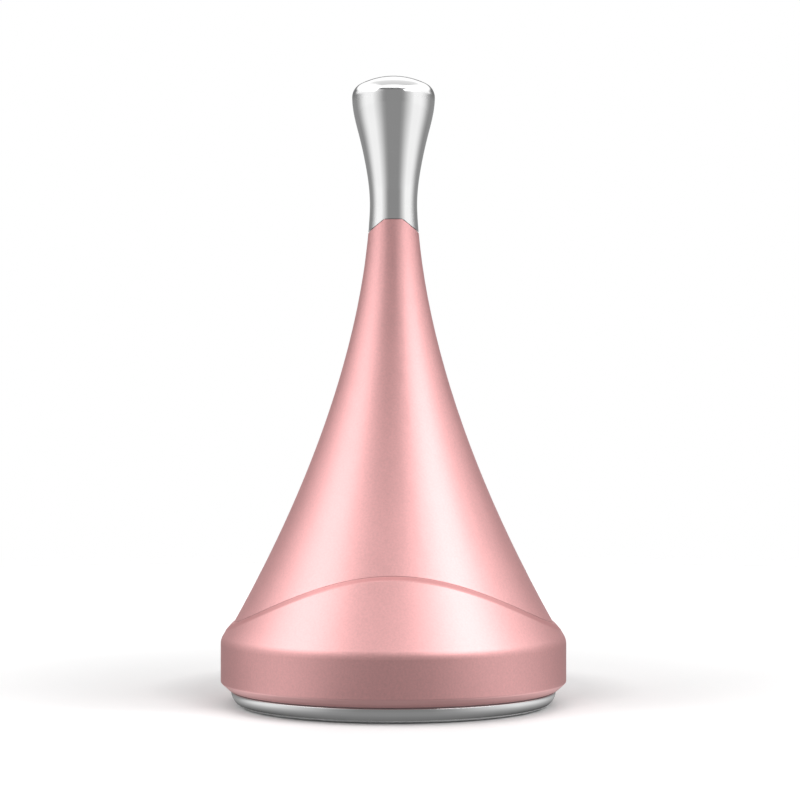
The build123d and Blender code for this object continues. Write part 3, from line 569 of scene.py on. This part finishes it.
def finish_for(slot, colours, bell):
    """The finish of a material slot of the record."""
    # The seals' black rubber takes the paler, pinkish colour of painted light
    base = colours.rubber if slot == "black_rubber" else recorded_colours[slot]
    if slot == "rose_paint":
        return bell_paint(slot, colours, bell)
    if slot == "button_paint":
        return metallic_paint(slot, colours.button)
    if slot == "polished_steel":
        return polished_metal(slot, colours.steel, roughness=0.07)
    if slot == "nickel_strip":
        return polished_metal(slot, base, roughness=0.2)
    if slot == "clear_ring":
        return milky_clear(slot, base)
    if slot == "circuit_board":
        return circuit_board(slot, base)
    if slot in metal_marks:
        return plain_metal(slot, base, *metal_marks[slot])
    return moulded(slot, base, *moulded_grains[slot])


def spin(outline, steps):
    """A full turn about the object's axis of an outline of (radius, height) points."""
    shape = bmesh.new()
    points = [shape.verts.new((radius, 0.0, height)) for radius, height in outline]
    edges = [shape.edges.new(pair) for pair in zip(points, points[1:])]
    bmesh.ops.spin(
        shape,
        geom=points + edges,
        cent=(0.0, 0.0, 0.0),
        axis=(0.0, 0.0, 1.0),
        angle=math.tau,
        steps=steps,
        use_merge=True,
    )
    return shape


def spin_piece(outline):
    """The closed skin of a round piece whose outline runs from axis to axis."""
    shape = spin(outline, piece_steps)
    bmesh.ops.remove_doubles(shape, verts=shape.verts[:], dist=merge_distance)
    bmesh.ops.recalc_face_normals(shape, faces=shape.faces[:])
    return shape


def add_object(name, shape, material):
    """Makes a shape an object of the scene, in one material."""
    mesh = bpy.data.meshes.new(name)
    shape.to_mesh(mesh)
    shape.free()
    mesh.materials.append(material)
    item = bpy.data.objects.new(name, mesh)
    bpy.context.scene.collection.objects.link(item)
    return item


def add_card(name, shape, material):
    """Makes a shape a studio card that only mirror-like rays meet, so that it neither shows nor shades."""
    item = add_object(name, shape, material)
    item.visible_camera = False
    item.visible_diffuse = False
    item.visible_transmission = False
    item.visible_shadow = False
    item.active_material.cycles.emission_sampling = "NONE"


def ring_edges(shape, radius, height):
    """The edges of one ring of a spun shape."""

    def on_ring(vert):
        across = math.hypot(vert.co.x, vert.co.y)
        return abs(across - radius) < 2 * slack and abs(vert.co.z - height) < 2 * slack

    return [edge for edge in shape.edges if all(on_ring(vert) for vert in edge.verts)]


def round_edges(shape, edges, offset, segments):
    """Rounds some edges of a shape, cutting back by an offset along each face."""
    bmesh.ops.bevel(
        shape,
        geom=edges,
        offset=offset,
        offset_type="OFFSET",
        segments=segments,
        profile=0.5,
        affect="EDGES",
        material=-1,
    )


def add_piece(name, shape, slot, body, replaced=None):
    """Makes a shape a smooth-shaded piece with its finish, on its body, in place of any node named."""
    bmesh.ops.recalc_face_normals(shape, faces=shape.faces[:])
    for face in shape.faces:
        face.smooth = True
    for edge in shape.edges:
        if len(edge.link_faces) == 2:
            edge.smooth = edge.calc_face_angle() < math.radians(sharp_turn)
    piece = add_object(name, shape, bpy.data.materials[f"{slot}_finish"])
    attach(piece, body)
    if replaced:
        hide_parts(replaced)


def bell_radius(sizes, height):
    """Outer radius of the bell at a height."""
    share = max(sizes.neck_height - height, 0.0) / (sizes.neck_height - sizes.skirt_height)
    return sizes.neck_radius + (sizes.skirt_radius - sizes.neck_radius) * share**sizes.flare


def bell_slope(sizes, height):
    """Change of the bell's radius with height."""
    rise = sizes.neck_height - sizes.skirt_height
    share = max(sizes.neck_height - height, 0.0) / rise
    steepest = sizes.flare * (sizes.skirt_radius - sizes.neck_radius) / rise
    return -steepest * share ** (sizes.flare - 1.0)


def knob_centre(tip):
    """Height at which the knob is widest, where its rounded edge starts."""
    reach = tip.crown_radius - tip.knob_edge_round
    across = tip.knob_radius - tip.knob_edge_round
    return cad_bounds[1][2] - tip.crown_radius + math.sqrt(reach**2 - across**2)


def button_place(bell, button):
    """The button's own frame: its origin on the bell's surface at the back, +Z straight out."""
    press = next(row for row in frame["record"]["behaviour"]["joints"] if row["child"] == "power_button")
    outward = -Vector(press["axis"]).normalized()
    origin = Vector((0.0, bell_radius(bell, button.height), button.height))
    turn = outward.to_track_quat("Z", "Y").to_matrix().to_4x4()
    return Matrix.Translation(origin) @ turn


def joint_line(sizes, x):
    """Height of the trapezoid joint over a distance from the middle of the front view."""
    fall = max(abs(x) - sizes.joint_half_width, 0.0) * math.tan(math.radians(sizes.joint_fall))
    return sizes.joint_height - fall


class MASSAGER_OT_finishes(bpy.types.Operator):
    """Gives every piece that comes from the frame its procedural finish"""

    bl_idname = "massager.finishes"
    bl_label = "Finishes"
    bl_options = {"REGISTER", "UNDO"}

    def execute(self, context):
        colours = context.scene.massager_colours
        bell = context.scene.massager_bell
        made = {slot: finish_for(slot, colours, bell) for slot in recorded_colours}
        for row in frame["record"]["subparts"]:
            node = frame["nodes"][row["node"]]
            node.data.materials.clear()
            node.data.materials.append(made[row["material_slot"]])
        return {"FINISHED"}


class MASSAGER_OT_steel_tip(bpy.types.Operator):
    """Makes the polished steel tip: spigot, trapezoid foot, waisted stem and domed knob"""

    bl_idname = "massager.steel_tip"
    bl_label = "Steel tip"
    bl_options = {"REGISTER", "UNDO"}

    def execute(self, context):
        tip = context.scene.massager_tip
        bell = context.scene.massager_bell
        foot = bell.joint_height + bell.joint_gap
        outline = self.spigot(tip, foot) + self.stem(tip, bell, foot) + self.knob(tip)
        shape = spin_piece(outline)
        self.follow_joint(shape, tip, bell, foot)
        rim = [line for line in shape.edges if self.on_foot(line, bell, foot)]
        round_edges(shape, rim, tip.foot_round, 2)
        add_piece("polished_tip", shape, "polished_steel", "handle", "massage_tip")
        return {"FINISHED"}

    @staticmethod
    def spigot(tip, foot):
        """The screw hole and the spigot with its seal groove."""
        floor = tip.spigot_radius - tip.groove_depth
        low = tip.groove_height - tip.groove_width / 2
        high = tip.groove_height + tip.groove_width / 2
        return [
            (0.0, tip.hole_top),
            (tip.hole_radius, tip.hole_top),
            (tip.hole_radius, tip.spigot_bottom),
            (tip.spigot_radius, tip.spigot_bottom),
            (tip.spigot_radius, low),
            (floor, low),
            (floor, high),
            (tip.spigot_radius, high),
            (tip.spigot_radius, foot),
        ]

    @staticmethod
    def stem(tip, bell, foot):
        """The waisted stem, on smooth curves between five radii and slopes."""
        merge = bell.joint_height + tip.merge_rise
        knots = (
            (foot, bell_radius(bell, foot), bell_slope(bell, foot)),
            (merge, bell_radius(bell, merge), bell_slope(bell, merge)),
            (bell.neck_height + tip.throat_rise, tip.throat_radius, tip.throat_slope),
            (bell.neck_height + tip.swell_rise, tip.swell_radius, tip.swell_slope),
            (knob_centre(tip), tip.knob_radius, 0.0),
        )
        points = []
        for (low, low_radius, low_slope), (high, high_radius, high_slope) in zip(knots, knots[1:]):
            rise = high - low
            for index in range(stem_rows):
                share = index / stem_rows
                radius = (
                    (2 * share**3 - 3 * share**2 + 1) * low_radius
                    + (share**3 - 2 * share**2 + share) * rise * low_slope
                    + (3 * share**2 - 2 * share**3) * high_radius
                    + (share**3 - share**2) * rise * high_slope
                )
                points.append((radius, low + share * rise))
        return points

    @staticmethod
    def knob(tip):
        """The knob's rounded edge and its dome, up to the pole."""
        top = cad_bounds[1][2]
        dome_centre = top - tip.crown_radius
        round_centre = tip.knob_radius - tip.knob_edge_round
        side = knob_centre(tip)
        meeting = math.atan2(side - dome_centre, round_centre)
        points = []
        for index in range(knob_edge_rows):
            turn = meeting * index / knob_edge_rows
            across = round_centre + tip.knob_edge_round * math.cos(turn)
            points.append((across, side + tip.knob_edge_round * math.sin(turn)))
        for index in range(dome_rows):
            turn = meeting + (math.pi / 2 - meeting) * index / dome_rows
            across = tip.crown_radius * math.cos(turn)
            points.append((across, dome_centre + tip.crown_radius * math.sin(turn)))
        return points + [(0.0, top)]

    @staticmethod
    def follow_joint(shape, tip, bell, foot):
        """Draws the tip's lowest rows down to the trapezoid joint."""
        merge = bell.joint_height + tip.merge_rise
        for vert in shape.verts:
            radius = math.hypot(vert.co.x, vert.co.y)
            if vert.co.z < foot - slack or vert.co.z > merge:
                continue
            fall = joint_line(bell, vert.co.x) + bell.joint_gap - foot
            if radius < tip.spigot_radius + slack:
                vert.co.z += fall
                continue
            height = vert.co.z + fall * (merge - vert.co.z) / (merge - foot)
            scale = bell_radius(bell, height) / radius
            vert.co = (vert.co.x * scale, vert.co.y * scale, height)

    @staticmethod
    def on_foot(line, bell, foot):
        """Whether an edge is part of the tip's lower rim, not one up the stem."""
        middle = (line.verts[0].co + line.verts[1].co) / 2
        on_joint = abs(middle.z - joint_line(bell, middle.x) - bell.joint_gap) < 4 * slack
        on_wall = math.hypot(middle.x, middle.y) > bell_radius(bell, foot) - 5 * slack
        climb = abs(line.verts[0].co.z - line.verts[1].co.z)
        return on_joint and on_wall and climb < rim_climb


class MASSAGER_OT_cooling_plate(bpy.types.Operator):
    """Makes the cold steel plate: a flat contact face with a rounded edge and an upright rim"""

    bl_idname = "massager.cooling_plate"
    bl_label = "Cooling plate"
    bl_options = {"REGISTER", "UNDO"}

    def execute(self, context):
        plate = context.scene.massager_plate
        bore = plate.spigot_radius - plate.spigot_wall
        outline = [
            (0.0, plate.floor),
            (bore, plate.floor),
            (bore, plate.spigot_top),
            (plate.spigot_radius, plate.spigot_top),
            (plate.spigot_radius, plate.flange_top),
            (plate.radius, plate.flange_top),
            (plate.radius, 0.0),
            (0.0, 0.0),
        ]
        shape = spin_piece(outline)
        round_edges(shape, ring_edges(shape, plate.radius, 0.0), plate.edge_round, plate_edge_rows)
        bmesh.ops.remove_doubles(shape, verts=shape.verts[:], dist=2 * merge_distance)
        round_edges(shape, ring_edges(shape, plate.radius, plate.flange_top), plate.flange_round, 3)
        round_edges(shape, ring_edges(shape, plate.spigot_radius, plate.spigot_top), plate.spigot_round, 2)
        round_edges(shape, ring_edges(shape, bore, plate.floor), plate.floor_round, 3)
        add_piece("cold_dish", shape, "polished_steel", "handle", "cooling_plate")
        return {"FINISHED"}


class MASSAGER_OT_push_button(bpy.types.Operator):
    """Makes the crowned push button with its seal groove, stop flange and stem"""

    bl_idname = "massager.push_button"
    bl_label = "Push button"
    bl_options = {"REGISTER", "UNDO"}

    def execute(self, context):
        button = context.scene.massager_button
        bell = context.scene.massager_bell
        outline = []
        for index in range(button_rows + 1):
            across = button.radius * index / button_rows
            drop = button.crown_radius - math.sqrt(button.crown_radius**2 - across**2)
            outline.append((across, button.rise - drop))
        rim = outline[-1][1]
        groove_floor = button.radius - button.groove_depth
        groove_top = button.groove_width / 2 - button.groove_drop
        groove_bottom = -button.groove_width / 2 - button.groove_drop
        flange_foot = button.flange_top - button.flange_thickness
        outline += [
            (button.radius, groove_top),
            (groove_floor, groove_top),
            (groove_floor, groove_bottom),
            (button.radius, groove_bottom),
            (button.radius, button.flange_top),
            (button.flange_radius, button.flange_top),
            (button.flange_radius, flange_foot),
            (button.stem_radius, flange_foot),
            (button.stem_radius, button.stem_foot),
            (0.0, button.stem_foot),
        ]
        shape = spin_piece(outline)
        round_edges(shape, ring_edges(shape, button.radius, rim), button.edge_round, 5)
        bmesh.ops.transform(shape, matrix=button_place(bell, button), verts=shape.verts[:])
        add_piece("crowned_button", shape, "button_paint", "power_button", "button_cap")
        return {"FINISHED"}


class MASSAGER_OT_socket_contacts(bpy.types.Operator):
    """Lays the plated contacts on both faces of the charging socket's tongue"""

    bl_idname = "massager.socket_contacts"
    bl_label = "Socket contacts"
    bl_options = {"REGISTER", "UNDO"}

    def execute(self, context):
        contacts = context.scene.massager_contacts
        low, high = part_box("usb_tongue")
        along = high[1] - contacts.setback - contacts.reach / 2
        shape = bmesh.new()
        for side in (1.0, -1.0):
            level = (low[2] + high[2]) / 2 + side * contacts.blade_thickness / 2
            for index in range(contacts.count):
                across = (index - (contacts.count - 1) / 2) * contacts.pitch
                place = Matrix.Translation((across, along, level))
                size = Matrix.Diagonal((contacts.width, contacts.reach, contacts.thickness, 1.0))
                bmesh.ops.create_cube(shape, size=1.0, matrix=place @ size)
        add_piece("socket_contacts", shape, "nickel_strip", "handle")
        return {"FINISHED"}


# The curved cards that stand round the object: their radius, the heights at which they start, are full,
# start to fade and end, and their cover by degrees off the front
curved_cards = {
    "front_card": {
        "radius": 1.3,
        "heights": (-0.02, -0.01, 1.02, 1.16),
        "stops": ((22.0, 1.0), (29.0, 0.92), (45.0, 0.44), (60.0, 0.0)),
    },
    "dark_strip": {
        "radius": 0.5,
        "heights": (0.46, 0.47, 0.6, 0.61),
        "stops": ((40.0, 1.0), (60.0, 0.0)),
    },
    "back_card": {
        "radius": 1.25,
        "heights": (-0.02, -0.01, 0.3, 0.5),
        "stops": ((84.0, 0.0), (95.0, 0.2), (114.0, 0.8), (126.0, 1.0), (160.0, 1.0), (180.0, 0.6)),
    },
    "crown_card": {
        "radius": 1.2,
        "heights": (0.2, 0.3, 0.55, 0.7),
        "stops": ((120.0, 0.0), (140.0, 1.0)),
    },
    "high_wall": {
        "radius": 1.35,
        "heights": (0.55, 0.7, 3.0, 3.1),
        "stops": ((0.0, 1.0), (180.0, 1.0)),
    },
}

# What multiplies the floor's colour in the camera's view: a least gain, and the rest by distance from the
# middle of a painted contact shadow, which adds to the floor's real shadow
least_gain = 0.8
contact_shadow = ((0.041, 0.2), (0.053, 0.38), (0.065, 0.4), (0.09, 0.48), (0.15, 0.75), (0.2, 0.9))

# The table in polished surfaces, by distance from the axis: its dark part ahead and its pale part aside, the
# pale part with a painted contact shadow close to the plate
table_ahead = ((0.031, 0.55), (0.0325, 0.85), (0.034, 1.0), (0.037, 0.85), (0.045, 0.8), (0.25, 1.0))
near_aside = ((0.031, 0.05), (0.0325, 0.12), (0.033, 0.35), (0.034, 0.65), (0.036, 0.85))
far_aside = ((0.06, 0.85), (0.08, 0.7), (0.15, 0.75), (0.25, 1.0))

# The share of the pale part by degrees off the front, as it rises and as it falls
turn_rises = ((20.0, 0.0), (29.0, 0.12), (45.0, 0.6), (60.0, 1.0))
turn_falls = ((84.0, 1.0), (95.0, 0.8), (114.0, 0.2), (126.0, 0.0))


class MASSAGER_OT_studio(bpy.types.Operator):
    """Sets the camera, the floor, the cards and the lamps"""

    bl_idname = "massager.studio"
    bl_label = "Studio"
    bl_options = {"REGISTER", "UNDO"}

    def execute(self, context):
        levels = context.scene.massager_studio
        scene = context.scene
        scene.view_settings.view_transform = "Standard"
        self.add_camera(scene, levels)
        self.add_world(scene, levels)
        self.add_floor()
        for name, card in curved_cards.items():
            self.add_wall(name, getattr(levels, name), **card)
        self.add_overhead(levels)
        self.add_floor_card(levels)
        self.add_softbox("right_softbox", levels.right, azimuth=-32.0, elevation=43.0, size=(0.8, 0.6))
        self.add_softbox("left_softbox", levels.left, azimuth=192.0, elevation=43.0, size=(0.8, 0.6))
        overhead = self.add_softbox("top_softbox", levels.top, azimuth=-90.0, elevation=88.0, size=(0.9, 0.9))
        overhead.visible_glossy = False
        return {"FINISHED"}

    @staticmethod
    def add_camera(scene, levels):
        """The photograph's level view, a little to the right of the axis."""
        camera = bpy.data.cameras.new("front_view")
        camera.lens = levels.lens
        camera.sensor_width = 36.0
        camera.clip_start = 0.01
        camera.clip_end = 20.0
        holder = bpy.data.objects.new("front_view", camera)
        holder.location = (levels.camera_aside, -levels.camera_distance, levels.camera_height)
        holder.rotation_euler = (math.radians(90.0), 0.0, 0.0)
        scene.collection.objects.link(holder)
        scene.camera = holder

    @staticmethod
    def add_world(scene, levels):
        """White where it is seen or mirrored, and an even fill elsewhere."""
        world = bpy.data.worlds.new("white_room")
        world.use_nodes = True
        scene.world = world
        room = Finish(world.node_tree)
        path = room.node("ShaderNodeLightPath")
        seen = path.output("Is Camera Ray") + path.output("Is Glossy Ray")
        seen = seen + path.output("Is Transmission Ray")
        shown = room.node("ShaderNodeClamp", None, {"Value": seen})
        strength = levels.fill + (1.0 - levels.fill) * shown
        backdrop = room.node("ShaderNodeBackground", None, {"Color": grey(1.0), "Strength": strength})
        room.node("ShaderNodeOutputWorld", None, {"Surface": backdrop})

    @staticmethod
    def add_floor():
        """A white floor round the object that fades into the white room, with a painted contact shadow near
        the object in the camera's view.
        """
        shape = bmesh.new()
        bmesh.ops.create_circle(shape, cap_ends=True, segments=stage_steps, radius=0.6)
        material, finish = new_finish("white_floor")
        tone = finish.mix(finish.noise(grain=0.02), grey(0.86), grey(0.88))
        # Painted shadow: the floor's colour is darker near the object, round a point 3 cm behind its axis
        shadow_middle = (0.0, -0.03, 0.0)
        away = finish.distance(move=shadow_middle)
        gain = least_gain + finish.ramp(away, reach=0.2, stops=contact_shadow)
        seen = finish.node("ShaderNodeLightPath").output("Is Camera Ray")
        gain = 1.0 + seen * (gain - 1.0)
        tone = finish.node("ShaderNodeVectorMath", {"operation": "SCALE"}, {0: tone, "Scale": gain})
        gloss = {"Base Color": tone, "Roughness": 0.35, "Specular IOR Level": 0.15}
        cover = finish.node("ShaderNodeBsdfPrincipled", None, gloss)
        fade = finish.smooth_step(finish.distance(), low=0.25, high=0.5)
        clear = finish.node("ShaderNodeBsdfTransparent")
        both = finish.node("ShaderNodeMixShader", None, {0: fade, 1: cover, 2: clear})
        finish.node("ShaderNodeOutputMaterial", None, {"Surface": both})
        add_object("floor", shape, material)

    @staticmethod
    def add_wall(name, level, radius, heights, stops):
        """One of the curved cards, which only polished surfaces see."""
        foot, full_from, full_to, top = heights
        shape = spin(((radius, foot), (radius, top)), stage_steps)
        material, finish = new_finish(name)
        height = finish.parts().output("Z")
        cover = finish.ramp(finish.off_front(), reach=180.0, stops=stops)
        cover = cover * finish.smooth_step(height, foot, full_from)
        cover = cover * (1.0 - finish.smooth_step(height, full_to, top))
        finish.glow(level, cover)
        add_card(name, shape, material)

    @staticmethod
    def add_overhead(levels):
        """What polished surfaces see overhead: a bright ceiling and a grey card under it."""
        radius, height = 1.2, 1.7
        ceiling = bmesh.new()
        bmesh.ops.create_circle(ceiling, cap_ends=True, segments=64, radius=radius)
        bmesh.ops.translate(ceiling, vec=(0.0, 0.0, height), verts=ceiling.verts[:])
        material, finish = new_finish("ceiling")
        away = finish.distance(scale=(1.0, 1.0, 0.0))
        finish.glow(levels.ceiling, 1.0 - finish.smooth_step(away, radius / 2, radius))
        add_card("ceiling", ceiling, material)
        middle, front, height = 0.1, -0.4, 1.65
        width, depth = 2.0, 2.3
        shade = bmesh.new()
        bmesh.ops.create_grid(shade, x_segments=1, y_segments=1, size=0.5)
        bmesh.ops.scale(shade, vec=(width, depth, 1.0), verts=shade.verts[:])
        bmesh.ops.translate(shade, vec=(middle, front + depth / 2, height), verts=shade.verts[:])
        material, finish = new_finish("overhead_shade")
        parts = finish.parts(move=(-middle, -front, 0.0))
        across = parts.output("X") / (width / 2)
        level = levels.shade + 0.2 * finish.smooth_step(parts.output("Y"), 0.0, depth)
        finish.glow(level, 1.0 - finish.smooth_step(across * across, low=0.4, high=1.0))
        add_card("overhead_shade", shade, material)

    @staticmethod
    def add_floor_card(levels):
        """What polished surfaces see of the table: darker towards the camera, paler at the sides."""
        inner, outer, lift = 0.0312, 1.3, 0.0003
        shape = spin(((inner, lift), (outer, lift)), stage_steps)
        material, finish = new_finish("floor_card")
        away = finish.distance()
        dark = levels.table_dark * finish.ramp(away, reach=0.5, stops=table_ahead)
        pale = levels.table_pale * finish.ramp(away, reach=0.5, stops=near_aside + far_aside)
        angle = finish.off_front()
        close = 1.0 - finish.smooth_step(away, low=0.06, high=0.12)
        left = 1.0 - finish.smooth_step(finish.parts().output("X"), low=-0.01, high=0.01)
        # Close to the plate the pale part starts sooner and fades past the plate's ends, more on the left
        plate_ends = close * finish.smooth_step(angle, low=62.0, high=90.0) * (0.45 + 0.4 * left)
        share = finish.ramp(angle + 6.0 * close, reach=180.0, stops=turn_rises + turn_falls)
        share = share * (1.0 - plate_ends)
        finish.glow(dark + share * (pale - dark), 1.0)
        add_card("floor_card", shape, material)

    @staticmethod
    def add_softbox(name, radiance, azimuth, elevation, size):
        """A rectangular lamp that faces the object's middle from a distance of a metre."""
        watts_for_radiance = 4.0
        lamp = bpy.data.lights.new(name, "AREA")
        lamp.shape = "RECTANGLE"
        lamp.size, lamp.size_y = size
        lamp.energy = radiance * watts_for_radiance * size[0] * size[1]
        holder = bpy.data.objects.new(name, lamp)
        turn, lift = math.radians(azimuth), math.radians(elevation)
        away = Vector((math.cos(turn) * math.cos(lift), math.sin(turn) * math.cos(lift), math.sin(lift)))
        middle = Vector((0.0, 0.0, 0.06))
        holder.location = middle + away
        holder.rotation_euler = away.to_track_quat("Z", "Y").to_euler()
        holder.visible_camera = False
        bpy.context.scene.collection.objects.link(holder)
        return holder


class MASSAGER_PT_panel(bpy.types.Panel):
    """The massager's steps in the 3D view's sidebar"""

    bl_label = "Cooling massager"
    bl_idname = "MASSAGER_PT_panel"
    bl_space_type = "VIEW_3D"
    bl_region_type = "UI"
    bl_category = "Massager"

    def draw(self, context):
        for step in steps:
            self.layout.operator(step.bl_idname)
        for name in settings:
            group = getattr(context.scene, name)
            box = self.layout.box()
            box.label(text=group.bl_rna.description)
            for row in group.bl_rna.properties:
                if row.identifier not in {"rna_type", "name"}:
                    box.prop(group, row.identifier)


steps = (
    MASSAGER_OT_finishes,
    MASSAGER_OT_studio,
    MASSAGER_OT_steel_tip,
    MASSAGER_OT_cooling_plate,
    MASSAGER_OT_push_button,
    MASSAGER_OT_socket_contacts,
)
settings = {
    "massager_bell": BellSizes,
    "massager_tip": TipSizes,
    "massager_plate": PlateSizes,
    "massager_button": ButtonSizes,
    "massager_contacts": ContactSizes,
    "massager_colours": FinishColours,
    "massager_studio": StudioLevels,
}


def register():
    """Registers the settings, the steps and the panel."""
    for name, group in settings.items():
        bpy.utils.register_class(group)
        setattr(bpy.types.Scene, name, PointerProperty(type=group))
    for step in steps:
        bpy.utils.register_class(step)
    bpy.utils.register_class(MASSAGER_PT_panel)


def unregister():
    """Takes back what register added."""
    bpy.utils.unregister_class(MASSAGER_PT_panel)
    for step in reversed(steps):
        bpy.utils.unregister_class(step)
    for name, group in settings.items():
        delattr(bpy.types.Scene, name)
        bpy.utils.unregister_class(group)


def main():
    """Makes the whole scene, step by step."""
    register()
    bpy.ops.massager.finishes()
    bpy.ops.massager.studio()
    bpy.ops.massager.steel_tip()
    bpy.ops.massager.cooling_plate()
    bpy.ops.massager.push_button()
    bpy.ops.massager.socket_contacts()


if __name__ == "__main__":
    main()
